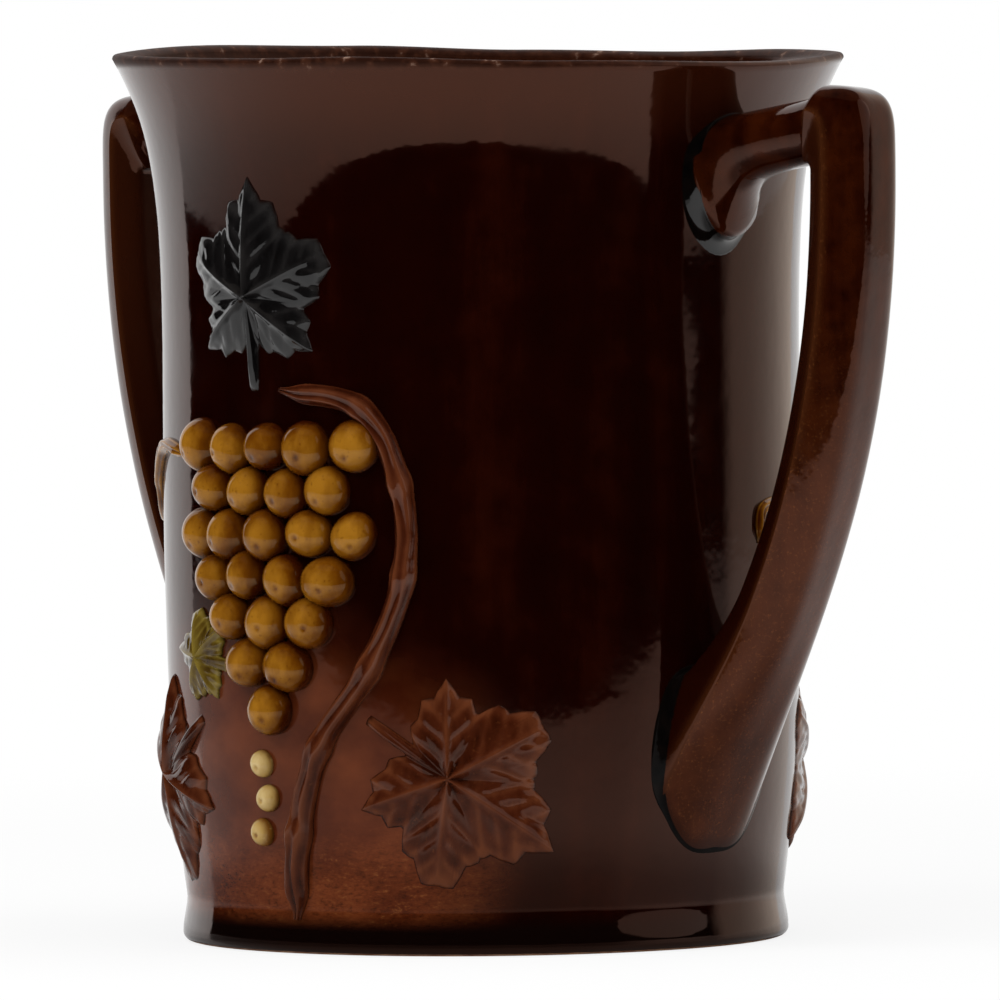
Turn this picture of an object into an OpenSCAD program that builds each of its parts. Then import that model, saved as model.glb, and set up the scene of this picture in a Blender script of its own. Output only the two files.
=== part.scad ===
// Two-handled loving cup in treacle-glazed earthenware, with a fruiting vine in applied relief.
// Millimetres. The foot stands on z = 0, z runs up the axis, the handles point along x,
// and the front relief faces -y.

/* [Vessel] */
// Height over the lip
cup_height = 157; // [146:1:170]
// Radius over the lip
rim_radius = 64.3; // [62:0.1:68]
// Radius of the upright part of the wall
body_radius = 56; // [54:0.1:58]
// Radius of the waist above the foot
waist_radius = 52.5; // [51:0.1:53.3]
// Radius over the foot
foot_radius = 53.3; // [53:0.1:56]
// Height of the waist
waist_height = 8; // [6:0.5:14]
// Height where the wall becomes upright
belly_height = 60; // [50:1:68]
// Height over which the wall flares out to the lip
flare_height = 77; // [60:1:85]
// How late the flare turns out, as a power
flare_power = 5; // [3:0.1:6]
// Thickness of the wall
wall = 4.2; // [3:0.1:5.5]
// Thickness of the lip
lip = 3; // [2:0.1:4]
// Height of the floor inside
floor_height = 6.5; // [5:0.1:9]
// Radius where the floor meets the wall inside
floor_fillet = 12; // [6:0.5:16]
// Rounding of the foot's edge
foot_round = 1.5; // [1:0.1:3]
// Width of the flat ring that the cup stands on
foot_ring = 4.5; // [3:0.1:8]
// Depth of the recess under the base
base_recess = 2.2; // [1:0.1:3]

/* [Handles] */
// Radius from the cup's axis to the strap's centre line
handle_reach = 87; // [84:0.5:92]
// Depth below the lip where the arm's centre line leaves the wall
arm_depth = 20.2; // [16:0.2:24]
// Rise of the arm on its way out, in degrees
arm_rise = 9; // [0:1:14]
// Half the arm's thickness
arm_half_thickness = 5.7; // [4:0.1:6]
// Half the arm's width
arm_half_width = 6.4; // [5:0.1:8]
// How far the arm's root runs down the wall
root_drop = 9.5; // [6:0.5:14]
// How much the arm's root widens on each side
root_spread = 2.4; // [1:0.1:4]
// Length over which the root dies away along the arm
root_length = 3; // [2:0.1:4]
// Radius of the knuckle on the centre line
knuckle_radius = 6.8; // [6:0.1:9]
// Height of the strap's squared top above the knuckle's middle
knuckle_rise = 14.6; // [13:0.1:16]
// Height above the knuckle's middle where the strap's arris turns over its top
arris_rise = 10.5; // [8:0.1:12]
// Half the strap's width
strap_half_width = 8.6; // [7:0.1:9]
// Strap from its arris lines out to its round back
strap_back = 7.2; // [5.5:0.1:8]
// Strap from its arris lines in to its flat face
strap_face = 5; // [4:0.1:6]
// Length of the pull that keeps the strap upright at its top
strap_pull = 52; // [40:1:58]
// Height where the strap's centre line meets the wall
tail_height = 26; // [24:0.5:32]
// Lean of the strap there, from upright, in degrees
tail_lean = 26; // [22:1:32]
// Length of the pull that keeps the strap straight at its tail
tail_pull = 30; // [22:1:36]
// How much the tail widens on each side where it meets the wall
tail_spread = 4; // [2:0.1:6]
// How much further the web of clay between the tail and the wall widens
web_spread = 3.5; // [2:0.1:8]
// How far clay fills the corner above the tail
tail_fill = 5; // [1:0.1:6]
// How much the strap's back thins on its way into the wall
tail_thin = 3.1; // [0:0.1:4]
// Turn of each handle off the cup's width towards the back, in degrees
handle_turn = 2; // [0:0.5:5]
// How much higher the right handle is set than the left one, by hand
right_handle_lift = 2; // [0:0.5:4]

/* [Relief] */
// Radius of the leaf at the top
crown_leaf_radius = 21; // [14:0.5:21]
// Depth of the top leaf's middle below the lip
crown_leaf_depth = 43; // [41:1:44]
// Radius of the large leaves
large_leaf_radius = 23; // [16:0.5:23]
// Radius of the small leaf
small_leaf_radius = 10.5; // [8:0.5:11]
// Height of a leaf's middle above the wall
leaf_rise = 2.6; // [1.5:0.1:4]
// Half the width of a leaf's stalk
stalk_half_width = 1.1; // [0.8:0.1:1.4]
// Thickness of a leaf's edge
leaf_edge = 0.7; // [0.4:0.1:1.2]
// Radius of a grape
grape_radius = 4.2; // [3.4:0.1:4.2]
// Distance between the grapes' middles along a row
grape_pitch = 8.7; // [8.5:0.1:9.2]
// Height of a grape's middle above the wall
grape_rise = -0.4; // [-1:0.1:1]
// How much further out the grapes in the middle of the bunch stand
bunch_swell = 1; // [0:0.1:1.5]
// Distance of the bunch's middle from the relief's middle
bunch_shift = 3; // [2:0.5:4]
// Height of the bunch's top row
bunch_height = 88; // [86:0.5:89]
// Half the cane's width
cane_half_width = 2.2; // [1.5:0.1:2.6]
// Height of the cane above the wall
cane_rise = 3; // [2:0.1:4]
// Half the tendril's width
tendril_half_width = 1.2; // [0.8:0.1:1.6]
// Height of the tendril above the wall
tendril_rise = 1.6; // [1:0.1:2.2]
// Radius of a bud
bud_radius = 2.4; // [1.5:0.1:2.6]
// Film of slip that lutes a piece to the wall
luting = 0.1; // [0.05:0.05:0.3]

/* [Hidden] */

// Middles of the relief pieces: millimetres along the wall from the middle, and height
crown_leaf_place = [0, cup_height - crown_leaf_depth];
left_leaf_place = [-32, 30];
right_leaf_place = [37, 31];
small_leaf_place = [-15, 51];
bud_places = [[0, 33], [1, 27], [-1, 21]];
// Way that each leaf's tip points, in degrees from the right
crown_leaf_angle = 90;
left_leaf_angle = 215;
right_leaf_angle = -35;
small_leaf_angle = 170;
// Lobes of a leaf: angle from its tip, and length as a share of its radius
leaf_lobes = [[0, 1], [63, 0.92], [-63, 0.92], [126, 0.76], [-126, 0.76]];
// Angle over which a lobe would taper to nothing, and half the angle between two lobes
lobe_taper = 105;
lobe_half_angle = 31.5;
// Length of the stalk, depth of the teeth, and height of the bays, as shares
stalk_share = 0.78;
tooth_depth = 0.08;
bay_share = 0.6;
// Grapes in each row from the top
grape_rows = [5, 4, 5, 4, 3, 2, 1];
// Routes on the wall of the cane, from the foot up, and of the tendril, from the bunch out
cane_route = [[6, 6], [8, 21], [13, 36], [23, 50], [29.5, 66], [29, 82], [22, 95], [6, 98]];
tendril_route = [[-22, 86], [-33, 87.5], [-45, 81], [-55, 74], [-65, 77], [-74, 76], [-75, 70]];

glaze_brown = [0.16, 0.06, 0.03];
handle_brown = [0.24, 0.10, 0.05];
slip_black = [0.07, 0.06, 0.06];
slip_russet = [0.40, 0.15, 0.06];
slip_olive = [0.27, 0.25, 0.09];
slip_ochre = [0.72, 0.48, 0.12];
slip_cream = [0.88, 0.80, 0.60];

// Section of the handle: roundness of the arm, fullness of the strap's back, and the share of the
// half width and the roundness of the bevels that run from each arris to the strap's flat face
oval_power = 0.9;
back_power = 2.4;
bevel_share = 0.42;
bevel_power = 2.2;
// Where along the handle the arm's shoulder begins and ends, and how square the knuckle is
shoulder_begin = 1.12;
shoulder_end = 1.26;
knuckle_power = 5;
// How square the tail's outline on the wall is: the plain section has 1, and less is squarer
tail_power = 0.48;
// Where along the handle its tail and the web behind the tail begin to widen
tail_begin = 2.62;
web_begin = 2.4;

wall_steps = 40;
lip_steps = 8;
fillet_steps = 8;
ring_sides = 20;
arm_rings = 9;
knuckle_rings = 16;
strap_rings = 24;
leaf_steps = 40;
route_steps = 5;

arm_height = cup_height - arm_depth;
lip_round = lip / 2;
rim_height = cup_height - lip_round;
flare_start = cup_height - flare_height;

function clamp01(x) = min(1, max(0, x));
function smooth01(x) = let (c = clamp01(x)) c * c * (3 - 2 * c);
function mix(a, b, t) = a + (b - a) * t;
function signed_pow(x, power) = sign(x) * pow(abs(x), power);

// Outer radius of the wall at height z
function wall_radius(z) =
    waist_radius
    + (foot_radius - waist_radius) * smooth01((waist_height - z) / (waist_height - foot_round))
    + (body_radius - waist_radius) * smooth01((z - waist_height) / (belly_height - waist_height))
    + (rim_radius - body_radius)
        * pow(clamp01((z - flare_start) / (rim_height - flare_start)), flare_power);

// Inner radius at height z: the wall thins towards the lip
function inner_radius(z) =
    wall_radius(z) - mix(wall, lip, clamp01((z - flare_start) / (rim_height - flare_start)));

// Turn from the middle of the front to an arc of p along the wall, and a point there above the wall
function wall_angle(p) = p / body_radius * 180 / PI;
function on_wall(p, z, rise) =
    let (r = wall_radius(z) + rise)
    [r * sin(wall_angle(p)), -r * cos(wall_angle(p)), z];

// Closed skin from a start point over rings of points to an end point
module skin(start, rings, end) {
    sides = len(rings[0]);
    last = len(rings) * sides + 1;
    points = concat([start], [for (ring = rings) each ring], [end]);
    faces = concat(
        [for (j = [0:sides - 1]) [0, 1 + j, 1 + (j + 1) % sides]],
        [for (i = [0:len(rings) - 2], j = [0:sides - 1])
            let (a = 1 + i * sides, b = a + sides, k = (j + 1) % sides)
            each [[a + j, b + k, a + k], [a + j, b + j, b + k]]],
        [for (j = [0:sides - 1]) [last, last - sides + (j + 1) % sides, last - sides + j]]);
    polyhedron(points, faces);
}

// Half section of the vessel, from the foot ring round the outside and back down the inside
module vessel_outline() {
    ring_outer = foot_radius - foot_round;
    ring_inner = ring_outer - foot_ring;
    fillet_height = floor_height + floor_fillet;
    fillet_middle = inner_radius(fillet_height) - floor_fillet;
    polygon(concat(
        [[0, base_recess], [ring_inner - base_recess, base_recess], [ring_inner, 0], [ring_outer, 0]],
        [for (i = [1:fillet_steps - 1])
            let (a = 90 * i / fillet_steps)
            [ring_outer + foot_round * sin(a), foot_round * (1 - cos(a))]],
        [for (i = [0:wall_steps])
            let (z = mix(foot_round, rim_height, i / wall_steps))
            [wall_radius(z), z]],
        [for (i = [1:lip_steps - 1])
            let (a = 180 * i / lip_steps)
            [rim_radius - lip_round + lip_round * cos(a), rim_height + lip_round * sin(a)]],
        [for (i = [0:wall_steps])
            let (z = mix(rim_height, fillet_height, i / wall_steps))
            [inner_radius(z), z]],
        [for (i = [1:fillet_steps])
            let (a = 90 * i / fillet_steps)
            [fillet_middle + floor_fillet * cos(a), fillet_height - floor_fillet * sin(a)]],
        [[0, floor_height]]));
}

module cup_body() {
    color(glaze_brown) rotate_extrude($fn = 96) vessel_outline();
}

// Handle, in its own plane: r runs out from the cup's axis and z runs up
arm_start = wall_radius(arm_height);
knuckle_middle_r = handle_reach - knuckle_radius;
arm_end = knuckle_middle_r - knuckle_radius * sin(arm_rise);
arm_length = (arm_end - arm_start) / cos(arm_rise);
knuckle_turn = 90 + arm_rise;
knuckle_middle_z = arm_height + (arm_end - arm_start) * tan(arm_rise) - knuckle_radius * cos(arm_rise);
tail_way = [sin(tail_lean), cos(tail_lean)];
strap_a = [handle_reach, knuckle_middle_z];
strap_b = strap_a - [0, strap_pull];
strap_d = [wall_radius(tail_height), tail_height];
strap_c = strap_d + tail_pull * tail_way;

function bezier(t) =
    strap_a * pow(1 - t, 3) + strap_b * 3 * t * pow(1 - t, 2) + strap_c * 3 * t * t * (1 - t)
    + strap_d * pow(t, 3);
function bezier_way(t) =
    (strap_b - strap_a) * pow(1 - t, 2) + (strap_c - strap_b) * 2 * t * (1 - t)
    + (strap_d - strap_c) * t * t;

// Place and heading of the centre line. u runs from 0 to 1 along the arm, on to 2 round the
// knuckle and on to 3 down the strap, and past both ends it goes straight on into the wall.
function centre(u) =
    u < 1 ? [arm_start, arm_height] + u * arm_length * [cos(arm_rise), sin(arm_rise)]
    : u < 2 ? let (a = knuckle_turn * (2 - u))
        [knuckle_middle_r, knuckle_middle_z] + knuckle_radius * [cos(a), sin(a)]
    : u < 3 ? bezier(u - 2)
    : strap_d - (u - 3) * 3 * tail_pull * tail_way;
function heading(u) =
    u < 1 ? arm_rise
    : u < 2 ? arm_rise - knuckle_turn * (u - 1)
    : let (way = bezier_way(min(u, 3) - 2)) atan2(way[1], way[0]);

// How much the root, the strap's own section, the tail and its web show at u
function root_share(u) = exp(-max(0, u) * arm_length / root_length);
function strap_share(u) = smooth01((u - shoulder_begin) / (shoulder_end - shoulder_begin));
function tail_share(u) = smooth01((u - tail_begin) / (3 - tail_begin));
function web_share(u) = smooth01((u - web_begin) / (3 - web_begin));

// Reach round the knuckle's middle of a square with a rounded corner, beyond the centre line
function knuckle_reach(u, side, rise) =
    let (a = knuckle_turn * (2 - u))
    pow(pow(abs(cos(a)) / side, knuckle_power) + pow(abs(sin(a)) / rise, knuckle_power),
        -1 / knuckle_power) - knuckle_radius;

function half_width(u) =
    mix(arm_half_width, strap_half_width, strap_share(u)) + root_spread * root_share(u);
function back_reach(u) =
    mix(arm_half_thickness,
        u < 2 ? knuckle_reach(u, knuckle_radius + strap_back, knuckle_rise) : strap_back,
        strap_share(u))
    - tail_thin * tail_share(u);
function arris_reach(u) =
    u < 2 ? strap_share(u) * knuckle_reach(u, knuckle_radius, arris_rise) : 0;
function face_reach(u) =
    mix(arm_half_thickness, strap_face, smooth01(u - 1))
    + root_drop * root_share(u) + tail_fill * tail_share(u);

// Share of the reach at angle a round the section: an oval on the arm, and on the strap
// a broad back and a bevelled face that meet at an arris on each side
function oval(a) = pow(abs(sin(a)), oval_power);
function back_shape(a) = 1 - pow(abs(cos(a)), back_power);
function face_shape(a) = 1 - pow(1 - clamp01((1 - abs(cos(a))) / bevel_share), bevel_power);

// Point on the handle's skin: u along it, a round it, from the side over the back
function handle_point(u, a, lift) =
    let (c = centre(u), h = heading(u),
         spread = tail_spread * tail_share(u) + web_spread * web_share(u) * max(0, -sin(a)),
         across = (half_width(u) + spread) * signed_pow(cos(a), mix(1, tail_power, tail_share(u))),
         shape = sin(a) > 0 ? back_shape(a) : face_shape(a),
         reach = sin(a) > 0 ? back_reach(u) : -face_reach(u),
         out = mix(arris_reach(u), reach, mix(oval(a), shape, strap_share(u))))
    [c[0] - out * sin(h), across, c[1] + out * cos(h) + lift];

// Height of a point above the luting film on the wall
function above_wall(p) = norm([p[0], p[1]]) - wall_radius(p[2]) - luting;

// The u at which the skin's line at angle a meets the wall, between one u inside and one outside
function wall_meeting(a, lift, inside, outside, tries = 24) =
    let (middle = (inside + outside) / 2)
    tries == 0 ? middle
    : above_wall(handle_point(middle, a, lift)) < 0 ? wall_meeting(a, lift, middle, outside, tries - 1)
    : wall_meeting(a, lift, inside, middle, tries - 1);

// Rings along the handle, eased at both ends from square sections to the wall
ring_angles = [for (j = [0:ring_sides - 1]) 360 * j / ring_sides];
handle_stations = concat(
    [for (i = [0:arm_rings - 1]) pow(i / arm_rings, 1.6)],
    [for (i = [0:knuckle_rings - 1]) 1 + i / knuckle_rings],
    [for (i = [0:strap_rings]) 2 + i / strap_rings]);
function handle_rings(lift) =
    let (arm_meetings = [for (a = ring_angles) wall_meeting(a, lift, -0.6, 0.9)],
         tail_meetings = [for (a = ring_angles) wall_meeting(a, lift, 3.4, 2.4)])
    [for (u = handle_stations)
        [for (j = [0:ring_sides - 1])
            handle_point(
                u + arm_meetings[j] * (1 - smooth01(u))
                  + (tail_meetings[j] - 3) * smooth01((u - 2.1) / 0.9),
                ring_angles[j], lift)]];

// A share of the way from a seat's middle to its edge, laid on the luting film
function seat_point(middle, edge, share) =
    let (p = mix(middle, edge, share), grow = (wall_radius(p[2]) + luting) / norm([p[0], p[1]]))
    [p[0] * grow, p[1] * grow, p[2]];
function seat_middle(ring) = (ring[ring_sides / 4] + ring[ring_sides * 3 / 4]) / 2;

module handle(lift) {
    rings = handle_rings(lift);
    first = rings[0];
    last = rings[len(rings) - 1];
    shares = [0.35, 0.7];
    skin(
        seat_point(seat_middle(first), first[0], 0),
        concat(
            [for (share = shares) [for (p = first) seat_point(seat_middle(first), p, share)]],
            rings,
            [for (i = [1, 0]) [for (p = last) seat_point(seat_middle(last), p, shares[i])]]),
        seat_point(seat_middle(last), last[0], 0));
}

module right_handle() {
    color(handle_brown) rotate([0, 0, handle_turn]) handle(right_handle_lift);
}

module left_handle() {
    color(handle_brown) rotate([0, 0, 180 - handle_turn]) handle(0);
}

// Vine leaf of five pointed lobes with toothed edges, at angle a from its tip
function lobe_distance(a, lobe) = abs((a - lobe[0] + 540) % 360 - 180);
function blade_outline(radius, a, step) =
    radius * max([for (lobe = leaf_lobes) lobe[1] * (1 - lobe_distance(a, lobe) / lobe_taper)])
    * (step % 2 == 0 ? 1 : 1 - tooth_depth);
// The stalk runs out of the bay behind the tip
function leaf_outline(radius, a, step) =
    abs(a - 180) > 60 ? blade_outline(radius, a, step)
    : max(blade_outline(radius, a, step),
          a == 180 ? stalk_share * radius : stalk_half_width / abs(sin(a)));
// Share of the way from the bay between two lobes to a lobe's rib
function rib_share(a) =
    max([for (lobe = leaf_lobes) clamp01(1 - lobe_distance(a, lobe) / lobe_half_angle)]);
function leaf_height(share, a) =
    leaf_edge + (leaf_rise - leaf_edge) * (1 - share * share) * mix(bay_share, 1, rib_share(a));

function leaf_ring(place, radius, tip, share, raised) =
    [for (i = [0:leaf_steps - 1])
        let (a = 360 * i / leaf_steps,
             r = share * leaf_outline(radius, a, i),
             rise = raised ? leaf_height(share, a) : 0)
        on_wall(place[0] + r * cos(tip + a), place[1] + r * sin(tip + a), luting + rise)];

module leaf(place, radius, tip) {
    shares = [0.4, 0.75, 1];
    skin(
        on_wall(place[0], place[1], luting),
        concat(
            [for (i = [0:2]) leaf_ring(place, radius, tip, shares[i], false)],
            [for (i = [2:-1:0]) leaf_ring(place, radius, tip, shares[i], true)]),
        on_wall(place[0], place[1], luting + leaf_rise));
}

// Ball of clay pressed on the wall, cut off where it meets the luting film
module pellet(place, radius, rise) {
    z = place[1];
    seat_radius = max(wall_radius(z - radius), wall_radius(z + radius)) + luting;
    rotate([0, 0, wall_angle(place[0])])
        difference() {
            translate([0, -wall_radius(z) - rise, z]) rotate([90, 0, 0]) sphere(radius, $fn = 64);
            translate([0, 0, z - 2 * radius]) cylinder(r = seat_radius, h = 4 * radius, $fn = 240);
        }
}

// The bunch is fullest in the middle of its rows
module grape_bunch() {
    row_pitch = grape_pitch * sin(60);
    for (row = [0:len(grape_rows) - 1], i = [0:grape_rows[row] - 1]) {
        along = (i - (grape_rows[row] - 1) / 2) * grape_pitch;
        fullness = 1 - pow(along / (max(grape_rows) / 2 * grape_pitch), 2);
        pellet(
            [bunch_shift + along, bunch_height - row * row_pitch],
            grape_radius, grape_rise + bunch_swell * fullness);
    }
}

module buds() {
    for (place = bud_places) pellet(place, bud_radius, 0);
}

// Smooth curve through the points of a route on the wall
function spline(a, b, c, d, t) =
    b + (c - a) * t / 2 + (a - 2.5 * b + 2 * c - d / 2) * t * t
    + (1.5 * b - a / 2 - 1.5 * c + d / 2) * t * t * t;
function route_points(route) =
    let (n = len(route) - 1)
    [for (i = [0:n - 1], k = [0:route_steps - (i == n - 1 ? 0 : 1)])
        spline(
            i == 0 ? 2 * route[0] - route[1] : route[i - 1], route[i], route[i + 1],
            i == n - 1 ? 2 * route[n] - route[n - 1] : route[i + 2], k / route_steps)];

// Half-round strip along a route, with a rounded end at both ends
module strip(route, half_width, rise) {
    points = route_points(route);
    n = len(points) - 1;
    skin(
        on_wall(points[0][0], points[0][1], luting),
        [for (i = [0:n])
            let (way = points[min(n, i + 1)] - points[max(0, i - 1)],
                 side = [way[1], -way[0]] / norm(way),
                 size = 0.55 + 0.45 * smooth01(min(i, n - i) / 2))
            [for (a = [0, 36, 72, 108, 144, 180, 270])
                let (p = points[i] + side * half_width * size * cos(a))
                on_wall(p[0], p[1], luting + max(0, rise * size * sin(a)))]],
        on_wall(points[n][0], points[n][1], luting));
}

module crown_leaf() { color(slip_black) leaf(crown_leaf_place, crown_leaf_radius, crown_leaf_angle); }
module left_leaf() { color(slip_russet) leaf(left_leaf_place, large_leaf_radius, left_leaf_angle); }
module right_leaf() { color(slip_russet) leaf(right_leaf_place, large_leaf_radius, right_leaf_angle); }
module small_leaf() { color(slip_olive) leaf(small_leaf_place, small_leaf_radius, small_leaf_angle); }
module cane() { color(slip_russet) strip(cane_route, cane_half_width, cane_rise); }
module tendril() { color(slip_ochre) strip(tendril_route, tendril_half_width, tendril_rise); }

module on_back() { rotate([0, 0, 180]) children(); }

cup_body();
right_handle();
left_handle();
crown_leaf();  // front_crown_leaf
left_leaf();  // front_left_leaf
right_leaf();  // front_right_leaf
small_leaf();  // front_small_leaf
color(slip_ochre) grape_bunch();  // front_grape_bunch
cane();  // front_cane
tendril();  // front_tendril
color(slip_cream) buds();  // front_buds
on_back() crown_leaf();  // back_crown_leaf
on_back() left_leaf();  // back_left_leaf
on_back() right_leaf();  // back_right_leaf
on_back() small_leaf();  // back_small_leaf
on_back() color(slip_ochre) grape_bunch();  // back_grape_bunch
on_back() cane();  // back_cane
on_back() tendril();  // back_tendril
on_back() color(slip_cream) buds();  // back_buds
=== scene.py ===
import random
from math import acos, atan2, copysign, cos, degrees, exp, hypot, pi, radians, sin, sqrt, tan

import bpy
from mathutils import Matrix, Vector, noise


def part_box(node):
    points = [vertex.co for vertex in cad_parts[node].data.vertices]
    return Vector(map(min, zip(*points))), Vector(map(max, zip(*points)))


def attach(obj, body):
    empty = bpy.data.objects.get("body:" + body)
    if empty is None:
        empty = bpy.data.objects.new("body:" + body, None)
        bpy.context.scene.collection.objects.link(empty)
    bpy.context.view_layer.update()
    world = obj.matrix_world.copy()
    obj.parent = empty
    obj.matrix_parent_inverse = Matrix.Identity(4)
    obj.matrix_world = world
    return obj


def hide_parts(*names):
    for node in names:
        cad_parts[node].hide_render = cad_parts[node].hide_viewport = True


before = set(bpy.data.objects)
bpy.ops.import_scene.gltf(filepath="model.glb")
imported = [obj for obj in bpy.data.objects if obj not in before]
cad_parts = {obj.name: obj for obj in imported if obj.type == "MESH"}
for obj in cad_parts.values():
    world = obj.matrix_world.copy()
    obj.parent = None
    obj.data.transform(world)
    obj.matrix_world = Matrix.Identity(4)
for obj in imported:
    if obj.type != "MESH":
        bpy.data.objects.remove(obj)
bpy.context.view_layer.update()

# Two-handled loving cup in treacle glaze, with a fruiting vine in coloured relief.
# Sizes are millimetres, as on the part itself, and the meshes are made in metres.
MM = 0.001
UP = Vector((0, 0, 1))
scene = bpy.context.scene

# Vessel
body_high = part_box("cup_body")[1]
CUP_HEIGHT = body_high.z / MM
RIM_RADIUS = min(body_high.x, body_high.y) / MM
BODY_RADIUS = 56.0
WAIST_RADIUS = 52.5
FOOT_RADIUS = 53.3
WAIST_HEIGHT = 8.0
# The wall widens most above the waist, and eases until it is upright at the belly
BELLY_HEIGHT = 85.0
BELLY_POWER = 3.0
FLARE_HEIGHT = 77.0
FLARE_START = CUP_HEIGHT - FLARE_HEIGHT
FLARE_POWER = 5.0
WALL = 4.2
LIP = 3.0
FLOOR_HEIGHT = 6.5
FLOOR_FILLET = 12.0
FOOT_ROUND = 1.5
FOOT_RING = 4.5
BASE_RECESS = 2.2
RIM_HEIGHT = CUP_HEIGHT - LIP / 2
# Rounding of the lip's outer edge, where the flare ends
LIP_EDGE = 0.9
# Rows of points that keep the foot ring's edges crisp: on the slope inside it, and on its face
SLOPE_ROW = 0.3
FACE_ROW = 0.4
# Rings of the mesh on each stretch of the profile
BASE_RINGS = 8
FOOT_RINGS = 9
WALL_RINGS = 150
LIP_EDGE_RINGS = 6
LIP_RINGS = 14
INNER_RINGS = 70
FILLET_RINGS = 12
# The lip warped in the kiln: degrees from the front of the cup, and how far the lip is lower there
RIM_DIPS = ((-86, 0.18), (-46, 1.1), (8, 1.5), (23, 1.25), (57, 2.2), (95, 2.9), (134, 1.9),
            (165, 1.7), (191, 2.2), (217, 1.75), (245, 0.7), (274, 0.18))
RIM_DIP_START = 135.0
# Waviness of the wall: height and length of the slow and the quick waves
SLOW_WAVE = (0.1, 34.0)
QUICK_WAVE = (0.03, 12.0)
# The waves begin above the foot and end below the top, and grow or die away over these heights
WAVES_BEGIN = 4.0
WAVES_GROW = 8.0
WAVES_END = 2.0
WAVES_DIE = 10.0
# Russet wash on the wall under the relief: height of its middle, and its half extents
WASH_HEIGHT = 22.0
WASH_EXTENT = (55.0, 44.0)
# Its edge: width and size of the waves there as shares of its extent, and the waves' length
WASH_EDGE = 0.42
WASH_WAVE = (0.12, 14.0)
# Its strength, and how much stronger it is round a height just above the foot
WASH_STRENGTH = 0.68
WASH_LOW_STRENGTH = 0.26
WASH_LOW_HEIGHT = 13.0
WASH_LOW_REACH = 9.0

# Handles: reach of the centre line from the axis, and the oval arm
HANDLE_REACH = 87.0
ARM_HEIGHT = CUP_HEIGHT - 20.2
ARM_RISE = radians(9)
ARM_HALF_THICKNESS = 5.7
ARM_HALF_WIDTH = 6.4
OVAL_POWER = 0.9
# The arm's root drops and spreads at the wall, and this fades over a length
ROOT_DROP = 9.5
ROOT_SPREAD = 2.4
ROOT_LENGTH = 3.0
# Between these places on the centre line the arm turns into the strap
SHOULDER_BEGIN = 1.12
SHOULDER_END = 1.26
# Knuckle: radius of the centre line, rise of its back and its side edges, and how square it is
KNUCKLE_RADIUS = 6.8
KNUCKLE_RISE = 14.6
ARRIS_RISE = 10.5
KNUCKLE_POWER = 5.0
# Strap: half width, how far back and face lie from the centre line, and the curve's pull
STRAP_HALF_WIDTH = 8.6
STRAP_BACK = 6.4
STRAP_FACE = 5.0
STRAP_PULL = 52.0
# The back is flat with rounded sides and slopes across the strap, and the face is bevelled
BACK_POWER = 4.5
STRAP_SKEW = 0.15
BEVEL_SHARE = 0.42
BEVEL_POWER = 2.2
# Tail: its seat's height, its lean, the curve's pull, and where on the centre line it begins
TAIL_HEIGHT = 27.5
TAIL_LEAN = radians(26)
TAIL_PULL = 30.0
TAIL_BEGIN = 2.62
# The tail spreads, thins at the back and fills out at the face, with a squarer face and a rounder back
TAIL_SPREAD = 4.0
TAIL_THIN = 1.8
TAIL_FILL = 5.0
TAIL_POWER = 0.48
TAIL_BACK_ROUND = 0.85
TAIL_BACK_POWER = 2.4
# Web between the strap's face and the wall
WEB_SPREAD = 3.5
WEB_BEGIN = 2.4
# Both handles sit a little off the cup's right and left, and the right one sits higher
HANDLE_TURN = radians(2)
RIGHT_HANDLE_LIFT = 2.0
# Waves of the handles: share of the section and length, and how far from the wall they are whole
HANDLE_WAVE = (0.018, 16.0)
WAVE_CLEARANCE = 4.0
# Rings of the mesh along each stretch of a handle, and how they crowd at the root and the tail
ARM_RINGS = 30
KNUCKLE_RINGS = 72
STRAP_RINGS = 90
ROOT_CROWDING = 1.8
TAIL_CROWDING = 1.5
# Place on the centre line from which the rings bend towards the wall at the tail
TAIL_FIT = 2.1
# Widths of the light line on the strap's side edges, which is thin glaze and a painted highlight, of
# the face's edge and of the glaze at the seats
ARRIS_WIDTH = 0.25
FACE_EDGE = 0.05
SEAT_GLAZE = 1.2
# Share of the wall's radius at which the ends of a handle's skin lie
SKIN_END = 0.965
# How deep the seats sink into the wall, and the glaze that pools in the corner round them
SEAT_SINK = 0.35
POOL_HEIGHT = 1.5
POOL_WIDTH = 1.9
# Size of the pools at heights from the seats' middles
ROOT_POOL = ((-13, 1.7), (-4, 1.35), (6, 0.9))
TAIL_POOL = ((-7, 0.3), (2, 1.1), (20, 1.1))
POOL_WAVE = (0.12, 7.0)
# How far the pools' edges lie in the wall and in the handle, and their backs behind these
POOL_TOE_SINK = 0.04
POOL_TOP_SINK = 0.06
POOL_BACK = (0.5, 0.8)
POOL_TOE_BACK = 0.3

# Relief, whose places are millimetres along the wall from its middle, and height
# Leaves: place, radius, direction of the tip in degrees, and slip
LEAVES = {
    "crown_leaf": ((0.0, CUP_HEIGHT - 43.0), 21.0, 90, "slip_black"),
    "left_leaf": ((-32.0, 30.0), 23.0, 215, "slip_russet"),
    "right_leaf": ((37.0, 31.0), 23.0, -35, "slip_russet"),
    "small_leaf": ((-15.0, 51.0), 10.5, 170, "slip_olive"),
}
# Lobes: degrees from the tip, and share of the radius, which falls to nothing over the taper
LEAF_LOBES = ((0, 1.0), (63, 0.92), (-63, 0.92), (126, 0.76), (-126, 0.76))
LOBE_TAPER = 105.0
LOBE_HALF_ANGLE = 31.5
LEAF_RISE = 2.6
LEAF_EDGE = 0.7
LEAF_EDGE_ROUND = 0.08
LEAF_CROWDING = 1.6
BAY_SHARE = 0.6
STALK_HALF_WIDTH = 1.1
STALK_SHARE = 0.78
STALK_ANGLE = 60
TOOTH_ANGLE = 18.0
TOOTH_DEPTH = 0.1
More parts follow.
